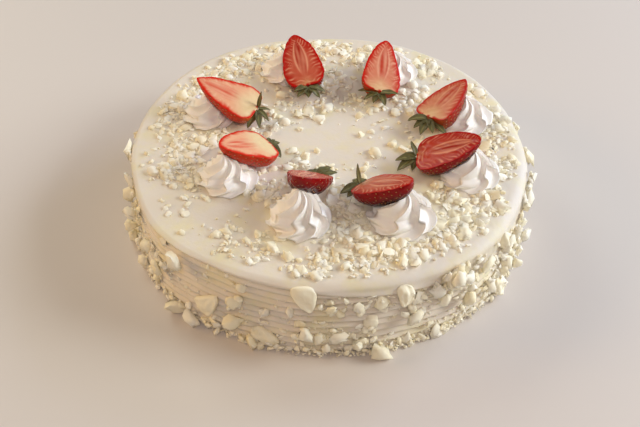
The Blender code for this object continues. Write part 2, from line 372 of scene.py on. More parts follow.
def seed_places(berry, seed):
    """Seeds in staggered rows across the round side, as places in the berry's own axes."""
    rng = np.random.default_rng(seed)
    places = []
    for row, t in enumerate(np.arange(0.07, 0.97, SEED_SPACING / berry["length"] * 0.92)):
        arc = np.pi * berry["half"] * float(fullness(t, *berry["blunt"]))
        count = max(int(arc / SEED_SPACING), 2)
        beta = (np.arange(count) + 0.5 * (row % 2) + 0.25) * np.pi / count
        beta = beta + rng.normal(0, 0.10, count) * np.pi / count
        places.append(berry_point(berry, t + rng.normal(0, 0.008, count), beta))
    return np.vstack(places)


def to_world(berry, local):
    """Points in a berry's own axes as places on the cake."""
    return berry["stem"] + local @ berry["axes"]


def set_attribute(mesh, name, values):
    """A number for each vertex, which a material reads by name."""
    mesh.attributes.new(name, 'FLOAT', 'POINT').data.foreach_set("value", values.astype(np.float32))


def layer_colours(tree, ripe, colour, layers):
    """Colours laid over one another, each by the attribute of its name, and each between
    its own colour on a pale berry and on a ripe one."""
    for layer, pale, deep in layers:
        over = add_node(tree, "ShaderNodeMix", "Result", {"Factor": ripe, "A": pale, "B": deep},
                        data_type='RGBA')
        share = add_node(tree, "ShaderNodeAttribute", "Fac", attribute_name=layer)
        colour = add_node(tree, "ShaderNodeMix", "Result",
                          {"Factor": share, "A": colour, "B": over}, data_type='RGBA')
    return colour


# Cut strawberry flesh: wet and slightly see-through. From below, the layers are the
# pale flesh, the red that spreads in from the rim and the tip, the core, the pale
# fibres, the yellowish stem end and the skin's red edge, each for a pale berry and
# for a ripe one.
flesh, tree, shader = new_material("cut_strawberry", Roughness=0.25, IOR=1.38,
                                   Specular_IOR_Level=0.14, Coat_Weight=0.04, Coat_Roughness=0.06,
                                   Subsurface_Weight=0.05, Subsurface_Scale=0.0015,
                                   Subsurface_Radius=(1.0, 0.25, 0.12))
ripe = add_node(tree, "ShaderNodeAttribute", "Fac", attribute_name="ripe")
colour = add_node(tree, "ShaderNodeMix", "Result", {"Factor": ripe, "A": "#f0b68e", "B": "#b6220e"},
                  data_type='RGBA')
colour = layer_colours(tree, ripe, colour, (
    ("redness", "#df5238", "#a60c08"), ("streak", "#e0664a", "#98100a"),
    ("fibre", "#fadfbc", "#f0a884"), ("stem_end", "#ecd8aa", "#dcae7a"),
    ("edge", "#d8291a", "#b00d0a")))
tree.links.new(colour, shader.inputs["Base Color"])
where = add_node(tree, "ShaderNodeTexCoord", "Object")
wet = add_node(tree, "ShaderNodeTexNoise", "Fac", {"Vector": where, "Scale": 1000 / 1.1, "Detail": 3.0})
tree.links.new(add_node(tree, "ShaderNodeBump", "Normal",
                        {"Height": wet, "Strength": 0.3, "Distance": 0.0003}),
               shader.inputs["Normal"])

# Strawberry skin: glossy and waxy, bright red at the cut, darker underneath by painted shade,
# orange where the leaves shaded it. It reddens before the flesh does.
skin, tree, shader = new_material("strawberry_skin", Roughness=0.24, IOR=1.42,
                                  Specular_IOR_Level=0.12, Coat_Weight=0.20, Coat_Roughness=0.03)
ripe = add_node(tree, "ShaderNodeAttribute", "Fac", attribute_name="ripe")
ripe = add_node(tree, "ShaderNodeMapRange", "Result", {"Value": ripe, "From Max": 0.75})
colour = add_node(tree, "ShaderNodeMix", "Result", {"Factor": ripe, "A": "#dc4420", "B": "#8c060a"},
                  data_type='RGBA')
# the under layer is painted shade: the skin darkens, nearly to black on a ripe berry, away from the cut edge
colour = layer_colours(tree, ripe, colour, (
    ("under", "#c83a1a", "#2c0104"), ("shaded", "#ee8440", "#86100e")))
where = add_node(tree, "ShaderNodeTexCoord", "Object")
mottle = add_node(tree, "ShaderNodeTexNoise", "Fac", {"Vector": where, "Scale": 1000 / 4, "Detail": 3.0})
spots = add_node(tree, "ShaderNodeMapRange", "Result", {"Value": mottle, "To Max": 0.35})
colour = add_node(tree, "ShaderNodeMix", "Result", {"Factor": spots, "A": colour, "B": "#7a0a0a"},
                  data_type='RGBA')
tree.links.new(colour, shader.inputs["Base Color"])
tree.links.new(add_node(tree, "ShaderNodeBump", "Normal",
                        {"Height": mottle, "Strength": 0.5, "Distance": 0.0005}),
               shader.inputs["Normal"])

ROUND_STEPS, FACE_STEPS, LENGTH_STEPS = 70, 46, 92
berries, seeds_at, seeds_out = [], [], []
for n, (ripeness, stem, tip) in enumerate(KINDS, 1):
    berry = read_berry(f"strawberry_{n}")
    berry["blunt"] = (stem, tip)
    berries.append(berry)
    seeds = seed_places(berry, 40 + n)
    t = 0.5 - 0.5 * np.cos(np.linspace(0, np.pi, LENGTH_STEPS))
    t = t[:, None] + np.zeros(ROUND_STEPS)
    beta = np.linspace(0, np.pi, ROUND_STEPS) + 0 * t
    skin_side = berry_point(berry, t, beta)
    outwards = unit(skin_side * (0, 1, 1))
    gap = np.linalg.norm(skin_side[:, :, None] - seeds, axis=-1).min(-1)
    full = fullness(t, stem, tip)
    pit = PIT_DEPTH * np.exp(-(gap / 0.0011) ** 2) * smooth_step(4 * full)
    lump = 0.0004 * ripple(skin_side, 0.016, 60 + n) * smooth_step(2 * full)
    skin_side = skin_side - outwards * (pit - lump)[..., None]
    share = np.linspace(1, 0, FACE_STEPS + 2)[1:-1]
    left, right = skin_side[:, -1:], skin_side[:, :1]
    face_side = left * share[:, None] + right * (1 - share)[:, None]
    bow = 4 * share * (1 - share)
    face_side[..., 2] += 0.0005 * bow * full[:, :1] + 0.00008 * ripple(face_side, 0.004, 80 + n)
    local = np.concatenate([skin_side, face_side], axis=1)
    half_berry = grid_mesh(f"berry_half_{n}", to_world(berry, local)[:, ::-1], flesh,
                           poles=(True, True))
    local = local[:, ::-1]

    # the cut face is flesh and the round side is skin
    columns = local.shape[1]
    column = np.arange(columns)
    is_skin = (column >= FACE_STEPS) & (column < columns - 1)
    half_berry.data.materials.append(skin)
    half_berry.data.polygons.foreach_set("material_index",
                                         np.tile(is_skin, LENGTH_STEPS - 1).astype(np.int32))

    # colour fields: distances are from the cut edge, the core is a pointed oval
    t_all = local[..., 0] / berry["length"]
    y_all = np.abs(local[..., 1]) / berry["half"]
    rim = np.concatenate([left[:, 0], right[:, 0]])
    from_edge = np.linalg.norm(local[:, :, None] - rim, axis=-1).min(-1)
    edge_wave = 1 + 0.25 * ripple(local, 0.006, 100 + n)
    edge = 1 - smooth_step((from_edge / edge_wave - 0.0006) / 0.0014)
    red_rim = 1 - smooth_step((from_edge / edge_wave - 0.0008) / (0.0026 + 0.0050 * ripeness))
    red_tip = (0.35 + 0.6 * ripeness) * smooth_step((t_all - 0.72 + 0.35 * ripeness) / 0.35)
    oval = 0.20 * np.sin(np.pi * np.clip((t_all - 0.12) / 0.78, 0, 1)) ** 0.8
    core_edge = y_all / np.maximum(oval, 1e-3)
    grain = 0.5 + 0.5 * ripple(local * (0.12, 1, 0), 0.0024, 170 + n)
    in_core = smooth_step((t_all - 0.15) / 0.2) * smooth_step((0.92 - t_all) / 0.12)
    width, fade = 2.5 - 1.2 * ripeness, 1.4 - 0.8 * ripeness
    streak = smooth_step((width - core_edge) / fade) * in_core * (0.30 + 0.70 * grain)
    slant = local[..., 0] - (0.25 + 0.9 * t_all) * np.abs(local[..., 1])
    ray = slant / FIBRE_SPACING + 0.45 * ripple(local, 0.009, 140 + n) + (local[..., 1] > 0) * 0.4
    ray = (0.5 + 0.5 * np.cos(2 * np.pi * ray)) ** 4
    ray *= np.clip(0.7 + 0.5 * ripple(local, 0.005, 150 + n), 0, 1)
    fibre = ray * smooth_step((from_edge - 0.0005) / 0.0012) * smooth_step((0.0085 - from_edge) / 0.006)
    fibre *= 0.24 + 0.66 * ripeness
    pale_line = np.exp(-((core_edge - 1.45) / 0.28) ** 2) * in_core * (0.15 + 0.65 * ripeness)
    pale_grain = 0.55 * (1 - grain) * smooth_step((2.2 - core_edge) / 0.8) * in_core * (0.3 + 0.5 * ripeness)
    stem_end = 0.9 * smooth_step((0.62 - 0.46 * ripeness - t_all - 0.20 * y_all) / 0.36)
    # the under field is painted shade, rising with the distance from the cut edge towards the skin's
    # underside
    fields = {"edge": edge, "redness": np.maximum(red_rim, red_tip), "streak": streak,
              "fibre": np.maximum(fibre, np.maximum(pale_line, pale_grain)), "stem_end": stem_end,
              "under": smooth_step((from_edge - 0.0015) / 0.009),
              "shaded": smooth_step((0.16 - t_all) / 0.14), "ripe": ripeness + 0 * edge}
    for key, field in fields.items():
        inner = np.clip(field[1:-1], 0, 1).reshape(-1)
        set_attribute(half_berry.data, key, np.append(inner, (field[0].mean(), field[-1].mean())))
    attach(half_berry, "root")
    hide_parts(f"strawberry_{n}")

    # each seed lies in its pit, along the berry
    outwards = unit(seeds * (0, 1, 1))
    seeds_at.append(to_world(berry, seeds - outwards * (PIT_DEPTH - 0.0002)))
    away = outwards @ berry["axes"]
    along = np.tile(berry["axes"][0], (len(seeds), 1))
    seeds_out.append(np.stack([along, np.cross(away, along), away], 1))


def copies(name, shape, faces, frames, places, material, smooth=True):
    """One joined mesh of many copies: each copy's points are turned by its three axes
    and moved to its place. shape holds one set of points for all, or one set for each."""
    points = np.einsum('nvk,nkj->nvj', np.broadcast_to(shape, (len(places),) + shape.shape[-2:]),
                       frames) + places[:, None]
    step = shape.shape[-2]
    joined = []
    for polygon in faces:
        joined.append((np.array(polygon) + np.arange(len(places))[:, None] * step).tolist())
    mesh = bpy.data.meshes.new(name)
    mesh.from_pydata(points.reshape(-1, 3).tolist(), [], [f for group in joined for f in group])
    mesh.materials.append(material)
    if smooth:
        mesh.shade_smooth()
    return add_object(name, mesh)


# Seeds: dry brown-yellow pips, pointed towards the tip, each in its own pit.
pip = new_material("strawberry_seed", Roughness=0.4, IOR=1.45, Base_Color="#a9703c",
                   Coat_Weight=0.4)[0]
PIP_SIDES = 6
turn = np.linspace(0, 2 * np.pi, PIP_SIDES, endpoint=False)
pip_shape = [np.array([[-0.00060, 0, 0]])]
for x, r in ((-0.00040, 0.00032), (0.00005, 0.00040), (0.00045, 0.00022)):
    pip_shape.append(np.stack([x + 0 * turn, r * np.cos(turn), 0.7 * r * np.sin(turn)], -1))
pip_shape.append(np.array([[0.00075, 0, 0]]))
pip_shape = np.vstack(pip_shape)
pip_faces = []
for i in range(PIP_SIDES):
    j = (i + 1) % PIP_SIDES
    pip_faces.append((0, 1 + j, 1 + i))
    for ring in (0, PIP_SIDES):
        pip_faces.append((1 + ring + i, 1 + ring + j, 1 + ring + PIP_SIDES + j, 1 + ring + PIP_SIDES + i))
    pip_faces.append((1 + 2 * PIP_SIDES + i, 1 + 2 * PIP_SIDES + j, 1 + 3 * PIP_SIDES))
seeds = copies("strawberry_seeds", pip_shape, pip_faces, np.vstack(seeds_out),
               np.vstack(seeds_at), pip)
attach(seeds, "root")


# ---------------------------------------------------------------- piped rosettes
# Whipped cream pressed through a star nozzle that turns as it lifts, so each has
# thin sharp crests with broad hollow faces between them that wind up to a point.
# The berry half is then laid on and presses the cream down.
# lobes, twist, curl of the crests and first crest's direction in degrees, and how far
# the second turn sets back from the first, as a part of the twist
SWIRLS = [
    (6, 150, 34, 200, 0.05), (8, 95, 20, 10, 0.06), (8, 90, 24, 30, 0.05), (7, 100, 30, 0, 0.05),
    (7, 100, 32, 20, 0.06), (7, 98, 32, 35, 0.10), (8, 92, 24, 12, 0.13), (8, 90, 22, 25, 0.11),
]
PIPED_ROWS, PIPED_STEPS = 76, 208
SWIRL_SPREAD, SWIRL_RISE = 1.09, 1.02    # width and height in parts of the plain solid's

# The same whipped cream, but never touched by a knife, so it keeps a smooth wet skin.
piped, tree, shader = new_material("whipped_cream_piped", Roughness=0.42, IOR=1.45,
                                   Base_Color="#fdfaf4",
                                   Subsurface_Weight=0.15, Subsurface_Scale=0.0015,
                                   Subsurface_Radius=(1.0, 0.8, 0.6))
where = add_node(tree, "ShaderNodeTexCoord", "Object")
fine = add_node(tree, "ShaderNodeTexNoise", "Fac", {"Vector": where, "Scale": 1000 / 4, "Detail": 3.0})
tree.links.new(add_node(tree, "ShaderNodeBump", "Normal",
                        {"Height": fine, "Strength": 0.2, "Distance": 0.0004}),
               shader.inputs["Normal"])


def press_under(points, berry, clearance=0.0002):
    """Cream that would be inside or above a berry half goes down to its underside."""
    local = (points - berry["stem"]) @ berry["axes"].T
    g = np.maximum(fullness(local[..., 0] / berry["length"], *berry["blunt"]), 1e-4)
    side = local[..., 1] / (berry["half"] * g)
    covered = (np.abs(side) < 1) & (local[..., 0] > 0) & (local[..., 0] < berry["length"])
    floor = -berry["depth"] * g * np.sqrt(np.clip(1 - side ** 2, 0, 1)) - clearance
    local[..., 2] = np.where(covered, np.minimum(local[..., 2], floor), local[..., 2])
    return to_world(berry, local)


for n, (lobes, twist, curl, first, setback) in enumerate(SWIRLS, 1):
    low, high = (np.array(c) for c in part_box(f"rosette_{n}"))
    centre = (low + high) / 2
    size = (high[0] - low[0] + high[1] - low[1]) / 4 * SWIRL_SPREAD
    height = (high[2] - low[2]) * SWIRL_RISE
    rng = np.random.default_rng(200 + n)
    t = np.linspace(0, 1, PIPED_ROWS)[:, None] ** 0.9
    turn = np.linspace(0, 2 * np.pi, PIPED_STEPS, endpoint=False)[None, :]
    lobe_wave = turn * lobes + 0.5 * np.sin(turn + rng.uniform(0, 6))
    lobe_wave = lobe_wave + 0.4 * np.sin(2 * turn + rng.uniform(0, 6))
    valley = np.abs(np.sin(lobe_wave / 2)) ** 0.65
    # a round foot, a full first ring, a waist, then a second turn that closes to the point
    girth = (1 - t ** 2) ** 0.85 * (1 - 0.20 * t) * (1 - 0.14 * np.exp(-t / 0.04))
    waist = (0.05 + 0.4 * setback) * np.exp(-((t - 0.39) / 0.06) ** 2)
    girth *= 1 + 0.06 * np.exp(-((t - 0.17) / 0.09) ** 2) - waist
    cut = (0.26 + 0.16 * smooth_step(t / 0.6)) * smooth_step((t + 0.05) / 0.16)
    uneven = 1 + 0.12 * np.sin(turn * 2 + rng.uniform(0, 6)) + 0.10 * np.sin(turn * 3 + rng.uniform(0, 6))
    reach = girth * (1 - cut * valley * uneven) * (1 + 0.05 * np.cos(turn - rng.uniform(0, 6)))
    climb = (0.42 * smooth_step(t / 0.32) - setback * smooth_step((t - 0.30) / 0.14)
             + (0.58 + setback) * smooth_step((t - 0.42) / 0.55))
    crest = (1 - cut * valley - 0.8) / 0.3
    wind = np.radians(twist) * climb - np.radians(curl) * crest
    way = turn + wind + math.radians(first)
    x = centre[0] + size * reach * np.cos(way)
    y = centre[1] + size * reach * np.sin(way)
    z = low[2] - 0.0006 + height * t * (1 - 0.05 * valley * (1 - t)) + 0 * turn
    points = np.stack([x, y, z], -1)
    points = points + 0.00025 * ripple(points, 0.009, 220 + n)[..., None]
    points = press_under(points, berries[n - 1])
    points[..., 2] = np.maximum(points[..., 2], CAKE_H - 0.0015)
    swirl = grid_mesh(f"piped_swirl_{n}", points, piped, poles=(True, True))
    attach(swirl, "root")
    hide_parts(f"rosette_{n}")


# ---------------------------------------------------------------- leaf crowns
# The green leaves at each stem, cut in half with the berry: thin pointed blades with
# a folded middle vein, that fan out behind the berry and sag onto the cream.
# each leaf: turn from straight behind the berry, rise in degrees, length, width, curl
CROWNS = [
    [(62, 62, 0.012, 0.0032, -20), (18, 5, 0.008, 0.0030, 20), (-35, 0, 0.012, 0.0036, 20),
     (-66, -4, 0.016, 0.0042, 15), (-95, -10, 0.016, 0.0055, 10)],
    [(-80, 10, 0.010, 0.0050, 40), (-52, 0, 0.011, 0.0050, 30), (-10, -8, 0.009, 0.0050, 20),
     (30, 2, 0.012, 0.0045, 35), (68, 5, 0.012, 0.0055, 40)],
    [(-96, 5, 0.014, 0.0045, 15), (-62, -2, 0.011, 0.0045, 30), (-20, -6, 0.009, 0.0045, 30),
     (30, -2, 0.011, 0.0050, 30), (78, 18, 0.013, 0.0050, 20)],
    [(-40, 8, 0.013, 0.0060, 30), (-8, 0, 0.012, 0.0050, 30), (22, -5, 0.014, 0.0060, 20),
     (55, 0, 0.013, 0.0050, 15), (88, -8, 0.017, 0.0050, 10)],
    [(-62, 34, 0.011, 0.0032, 30), (-28, 8, 0.009, 0.0040, 40), (18, 4, 0.013, 0.0062, 20),
     (44, -4, 0.015, 0.0062, 25), (80, -10, 0.010, 0.0045, 20)],
    [(-60, -6, 0.010, 0.0050, 25), (-22, -4, 0.010, 0.0050, 30), (12, 64, 0.015, 0.0040, -30),
     (58, -2, 0.013, 0.0062, 30), (84, -6, 0.011, 0.0055, 20)],
    [(-88, -6, 0.011, 0.0055, 20), (-62, 4, 0.013, 0.0062, 15), (-34, 6, 0.012, 0.0050, 20),
     (4, -4, 0.009, 0.0045, 30), (60, -6, 0.009, 0.0045, 30)],
    [(-88, -8, 0.011, 0.0055, 20), (-45, 6, 0.006, 0.0035, 50), (-5, 5, 0.007, 0.0035, 40),
     (35, 4, 0.008, 0.0032, 40), (66, 8, 0.008, 0.0032, 30)],
]
BLADE_ROWS, BLADE_STEPS = 14, 9
LEAF_THICK = 0.00035

# Strawberry leaf: dull dark green mottled with olive, with a paler vein.
leaf_skin, tree, shader = new_material("strawberry_leaf", Roughness=0.5, IOR=1.42,
                                       Subsurface_Weight=0.08, Subsurface_Scale=0.001)
vein = add_node(tree, "ShaderNodeAttribute", "Fac", attribute_name="vein")
where = add_node(tree, "ShaderNodeTexCoord", "Object")
mottle = add_node(tree, "ShaderNodeTexNoise", "Fac", {"Vector": where, "Scale": 1000 / 2.9, "Detail": 3.0})
green = add_node(tree, "ShaderNodeMix", "Result", {"Factor": mottle, "A": "#3e3c18", "B": "#77734a"},
                 data_type='RGBA')
green = add_node(tree, "ShaderNodeMix", "Result", {"Factor": vein, "A": green, "B": "#918d58"},
                 data_type='RGBA')
tree.links.new(green, shader.inputs["Base Color"])
tree.links.new(add_node(tree, "ShaderNodeBump", "Normal",
                        {"Height": mottle, "Strength": 0.5, "Distance": 0.0004}),
               shader.inputs["Normal"])


def blade(base, way, rise, length, width, curl):
    """One leaf: a middle line that leaves at its rise and bends by curl, with a width
    like a sine that is skewed to the base, raised towards both edges."""
    a = np.linspace(0, 1, BLADE_ROWS)[:, None]
    b = np.linspace(-1, 1, BLADE_STEPS)[None, :]
    pitch = np.radians(rise - curl * a)
    run = np.cumsum(np.cos(pitch), 0) * length / BLADE_ROWS
    climb = np.cumsum(np.sin(pitch), 0) * length / BLADE_ROWS
    half = width / 2 * (np.sin(np.pi * a ** 0.72) ** 0.75 * 0.96 + 0.10 * (1 - a))
    side = b * half
    lift = climb + 0.28 * np.abs(b) * half * np.cos(pitch)
    along = run - 0.28 * np.abs(b) * half * np.sin(pitch)
    ahead = np.array([math.cos(way), math.sin(way), 0.0])
    left = np.array([-math.sin(way), math.cos(way), 0.0])
    points = base + along[..., None] * ahead + side[..., None] * left
    points[..., 2] += lift
    points[..., 2] += 0.0002 * ripple(points, 0.004, int(1000 * length + rise) % 97)
    points[..., 2] = np.maximum(points[..., 2], CAKE_H + 0.0003 + 0.0003 * np.abs(b))
    return points


for n, leaves in enumerate(CROWNS, 1):
    berry = berries[n - 1]
    along = berry["axes"][0]
    back = math.atan2(-along[1], -along[0])
    verts, faces, veins = [], [], []
    for turn, rise, length, width, curl in leaves:
        root = berry["stem"] - along * 0.0003 - berry["axes"][2] * 0.0010
        way = back + math.radians(turn)
        points = blade(root, way, rise, length, width, curl)
        index = len(verts) * BLADE_ROWS * BLADE_STEPS + np.arange(BLADE_ROWS * BLADE_STEPS)
        index = index.reshape(BLADE_ROWS, BLADE_STEPS)
        faces += np.stack([index[:-1, :-1], index[1:, :-1], index[1:, 1:], index[:-1, 1:]],
                          -1).reshape(-1, 4).tolist()
        verts.append(points.reshape(-1, 3))
        b = np.linspace(-1, 1, BLADE_STEPS) + np.zeros((BLADE_ROWS, 1))
        veins.append((0.8 * np.exp(-(b / 0.16) ** 2)).reshape(-1))
    mesh = bpy.data.meshes.new(f"leaves_{n}")
    mesh.from_pydata(np.vstack(verts).tolist(), [], faces)
    set_attribute(mesh, "vein", np.concatenate(veins))
    mesh.materials.append(leaf_skin)
    mesh.shade_smooth()
    crown = add_object(f"leaves_{n}", mesh)
    thick = crown.modifiers.new("thickness", 'SOLIDIFY')
    thick.thickness = LEAF_THICK
    thick.offset = 0.0
    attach(crown, "root")
    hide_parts(f"calyx_{n}")


# ---------------------------------------------------------------- white chocolate
# White chocolate broken and scraped with a knife, and thrown and pressed onto the
# cream: a few large curved flakes on the side, chunks, chips, fine crumbs, and
# a fringe of thin splinters where the rest has slid down to the foot.
# It is fat and milk solids, so it is pale ivory and dull where it broke.
chocolate, tree, shader = new_material("white_chocolate", Roughness=0.6, IOR=1.4,
                                       Specular_IOR_Level=0.35,
                                       Subsurface_Weight=0.35, Subsurface_Scale=0.0012,
                                       Subsurface_Radius=(1.0, 1.0, 1.0))
where = add_node(tree, "ShaderNodeTexCoord", "Object")
tint = add_node(tree, "ShaderNodeAttribute", "Fac", attribute_name="tint")
mottle = add_node(tree, "ShaderNodeTexNoise", "Fac", {"Vector": where, "Scale": 1000 / 3.3, "Detail": 4.0})
ivory = add_node(tree, "ShaderNodeMix", "Result", {"Factor": tint, "A": "#fcf8ea", "B": "#f9edc8"},
                 data_type='RGBA')
cloud = add_node(tree, "ShaderNodeMapRange", "Result", {"Value": mottle, "To Max": 0.5})
ivory = add_node(tree, "ShaderNodeMix", "Result", {"Factor": cloud, "A": ivory, "B": "#fbf3dc"},
                 data_type='RGBA')
tree.links.new(ivory, shader.inputs["Base Color"])
tree.links.new(add_node(tree, "ShaderNodeBump", "Normal",
                        {"Height": mottle, "Strength": 0.4, "Distance": 0.0005}),
               shader.inputs["Normal"])


def outward_frame(angle, turn):
    """Three axes for a piece on the side: round the cake, up, and out, turned in their plane."""
    out = np.stack([np.cos(angle), np.sin(angle), 0 * angle], -1)
    level = np.stack([-np.sin(angle), np.cos(angle), 0 * angle], -1)
    up = np.array([0.0, 0.0, 1.0]) + 0 * out
    c, s = np.cos(turn)[..., None], np.sin(turn)[..., None]
    return np.stack([level * c + up * s, up * c - level * s, out], -2)


def shell(width, height, thick, point, slant, rough, seed, across=48, down=24):
    """A broken flake: a flattened ball, squarer than round, that narrows to a point at
    one end, has a wavy outline and an uneven face, both by rough in mm, and is slightly
    hollow towards the cake."""
    u = np.linspace(0, 2 * np.pi, across, endpoint=False)[None, :]
    v = np.linspace(-np.pi / 2, np.pi / 2, down)[:, None]
    square = (np.abs(np.cos(u)) ** 2.6 + np.abs(np.sin(u)) ** 2.6) ** (-1 / 2.6)
    ball = np.stack([square * np.cos(v) * np.cos(u), square * np.cos(v) * np.sin(u),
                     np.sin(v) + 0 * u], -1)
    ball[..., :2] *= (1 + 0.13 * rough * ripple(ball * (1, 1, 0), 1.8, seed))[..., None]
    x, y = ball[..., 0], ball[..., 1]
    x = x * (1 - point * (0.5 - 0.5 * y)) + slant * (0.5 - 0.5 * y)
    flat = np.sign(ball[..., 2]) * np.abs(ball[..., 2]) ** 0.5 * thick / 2
    bend = (x ** 2 + y ** 2) * 0.06 * width
    relief = rough / 1000 * (ripple(ball, 1.1, seed + 1) + 0.3 * ripple(ball, 0.4, seed + 2))
    return np.stack([x * width / 2, y * height / 2, flat - bend + relief], -1)


# turn in its own plane in degrees, lean out at the lower edge in mm, how far it
# narrows to its point, how far the point is to one side, and how rough it is in mm
FLAKES = [
    (4, 2.6, 0.80, 0.48, 0.3), (148, 1.5, 0.70, -0.25, 0.4), (66, 2.0, 0.60, 0.25, 0.4),
    (-12, 2.6, 0.35, 0.15, 0.8), (-40, 3.0, 0.40, -0.20, 0.8), (50, 2.2, 0.55, 0.20, 0.7),
    (-15, 2.0, 0.35, 0.10, 0.8), (-15, 2.4, 0.45, 0.25, 0.8), (100, 1.5, 0.60, -0.20, 0.7),
    (20, 2.0, 0.40, 0.20, 0.8),
]
for n, (turn, lean, point, slant, rough) in enumerate(FLAKES, 1):
    low, high = (np.array(c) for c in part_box(f"chocolate_flake_{n}"))
    centre = (low + high) / 2
    way = math.atan2(centre[1], centre[0])
    level = abs(math.sin(way)) * (high[0] - low[0]) + abs(math.cos(way)) * (high[1] - low[1])
    upright = high[2] - low[2]
    sideways = abs(math.sin(math.radians(turn)))
    width = level + (upright - level) * sideways
    height = upright + (level - upright) * sideways
    points = shell(width, height, 0.0026 + 0.0020 * rough, point, slant, rough, 300 + n)
    axes = outward_frame(np.array(way), np.array(math.radians(turn)))
    wall = side_reach(np.array(way), np.array(centre[2]))
    place = np.array([math.cos(way) * wall, math.sin(way) * wall, centre[2]])
    points = points @ axes
    out = 0.0018 + lean / 1000 * (0.4 - points[..., 2] / upright)
    points = points + place + out[..., None] * axes[2]
    piece = grid_mesh(f"flake_{n}", points, chocolate, poles=(True, True))
    set_attribute(piece.data, "tint", np.full(len(piece.data.vertices), 0.6))
    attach(piece, "root")
    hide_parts(f"chocolate_flake_{n}")

# patches on the top: direction in degrees, distance from the middle and spread in mm,
# and share of all the pieces
TOP_PATCHES = [
    (90, 108, 16, 5), (110, 104, 13, 6), (128, 104, 13, 7), (146, 102, 12, 6), (163, 98, 12, 6),
    (180, 88, 11, 4), (-163, 96, 10, 5), (-155, 82, 9, 5), (70, 106, 12, 4), (52, 106, 10, 4),
    (30, 108, 9, 3), (12, 110, 9, 4), (3, 99, 7, 3), (-10, 106, 8, 3), (-28, 104, 8, 4),
    (-39, 100, 9, 6), (-52, 102, 9, 7), (-66, 102, 10, 7), (-80, 100, 10, 7), (-94, 104, 9, 5),
    (-81, 78, 8, 5), (-81, 60, 8, 4), (-111, 100, 8, 2), (-122, 103, 8, 1.5), (-32, 80, 8, 4),
    (-130, 60, 8, 3), (178, 70, 8, 3), (121, 40, 13, 3), (55, 55, 13, 4), (40, 72, 10, 4),
    (-122, 34, 12, 2), (-60, 34, 14, 1.2), (160, 45, 12, 2), (90, 62, 14, 3), (0, 60, 9, 2),
]
# clusters on the side: direction in degrees, height and size in mm of the largest
# chunk, and how many small pieces cling round it
SIDE_CLUSTERS = [
    (-178, 47, 10, 8), (-166, 43, 9, 8), (-170, 27, 9, 8), (-160, 21, 8, 7), (-155, 39, 8, 7),
    (-163, 6, 8, 9), (-152, 5, 7, 7), (-146, 31, 8, 9), (-139, 26, 9, 12), (-131, 44, 11, 2),
    (-143, 9, 6, 7), (-133, 5, 9, 6), (-127, 4, 9, 4), (-121, 6, 7, 5), (-114, 30, 7, 3),
    (-112, 42, 5, 2), (-114, 17, 8, 2), (-106, 28, 5, 1), (-109, 4, 7, 6), (-99, 33, 6, 2),
    (-95, 21, 9, 4), (-89, 39, 7, 8), (-82, 38, 8, 8), (-76, 38, 7, 4), (-87, 16, 9, 7),
    (-92, 15, 6, 3), (-79, 23, 8, 2), (-82, 11, 6, 4), (-76, 4, 10, 11), (-69, 4, 7, 8),
    (-66, 36, 8, 6), (-61, 39, 8, 5), (-59, 29, 7, 6), (-67, 24, 8, 6), (-57, 46, 10, 7),
    (-53, 41, 8, 7), (-60, 4, 7, 7), (-52, 24, 8, 7), (-46, 40, 8, 9), (-43, 20, 6, 8),
    (-36, 41, 10, 8), (-35, 5, 10, 9), (-35, 24, 7, 9), (-27, 34, 8, 9), (-27, 8, 7, 8),
    (-18, 43, 8, 9), (-20, 19, 8, 9), (-14, 6, 7, 8), (-6, 26, 9, 9), (-10, 45, 8, 7),
    (3, 38, 9, 9), (6, 13, 8, 9), (15, 43, 8, 8), (19, 27, 7, 9), (28, 10, 8, 8),
    (33, 38, 9, 8), (45, 23, 8, 8), (56, 41, 8, 7), (63, 9, 8, 8), (72, 31, 7, 7),
    (84, 14, 9, 8), (92, 40, 8, 7), (101, 25, 8, 8), (112, 8, 8, 8), (117, 40, 9, 7),
    (128, 29, 8, 6), (139, 42, 8, 6), (144, 12, 8, 7), (155, 33, 8, 7), (162, 8, 9, 8),
    (168, 22, 8, 7), (172, 41, 8, 7),
]
# the direction where the fine crumbs lie thickest on the side
SNOW_MIDDLE = math.radians(-15)
# metres a chunk starts with for each millimetre of its size, as its breaks take some off
CHUNK_START = 0.0013


def chunk_shapes(rng, sizes, squash):
    """Broken lumps: the 26 points of a cube cut twice each way, drawn towards a ball,
    pushed about, and then planed off by flat breaks in random directions."""
    lattice = np.array([(x, y, z) for x in (-1, 0, 1) for y in (-1, 0, 1) for z in (-1, 0, 1)
                        if (x, y, z) != (0, 0, 0)], float)
    ball = unit(lattice)
    shapes = 0.22 * lattice + 0.72 * ball + rng.normal(0, 0.19, (len(sizes), len(lattice), 3))
    for _ in range(3):
        way = unit(rng.normal(size=(len(sizes), 3)))
        past = np.einsum('nvk,nk->nv', shapes, way) - rng.uniform(0.45, 0.90, (len(sizes), 1))
        shapes = shapes - np.maximum(past, 0)[..., None] * way[:, None]
    return shapes * (sizes[:, None] * squash)[:, None] / 2, lattice


def lattice_faces(lattice):
    """The four squares on each side of the cut cube, wound outwards."""
    find = {tuple(p.astype(int)): i for i, p in enumerate(lattice)}
    faces = []
    for axis in range(3):
        a, b = (axis + 1) % 3, (axis + 2) % 3
        for way in (-1, 1):
            for i in (-1, 0):
                for j in (-1, 0):
                    corners = []
                    for di, dj in ((0, 0), (1, 0), (1, 1), (0, 1)):
                        p = [0, 0, 0]
                        p[axis], p[a], p[b] = way, i + di, j + dj
                        corners.append(find[tuple(p)])
                    faces.append(corners if way == 1 else corners[::-1])
    return faces


def lying_frames(rng, away, lean):
    """Three axes for each piece: its flat side faces away from the cream, give or take
    the lean, and it is turned anyhow in its own plane."""
    third = unit(away + rng.normal(0, 1, away.shape) * lean)
    first = rng.normal(size=away.shape)
    first = unit(first - (first * third).sum(1, keepdims=True) * third)
    return np.stack([first, np.cross(third, first), third], 1)


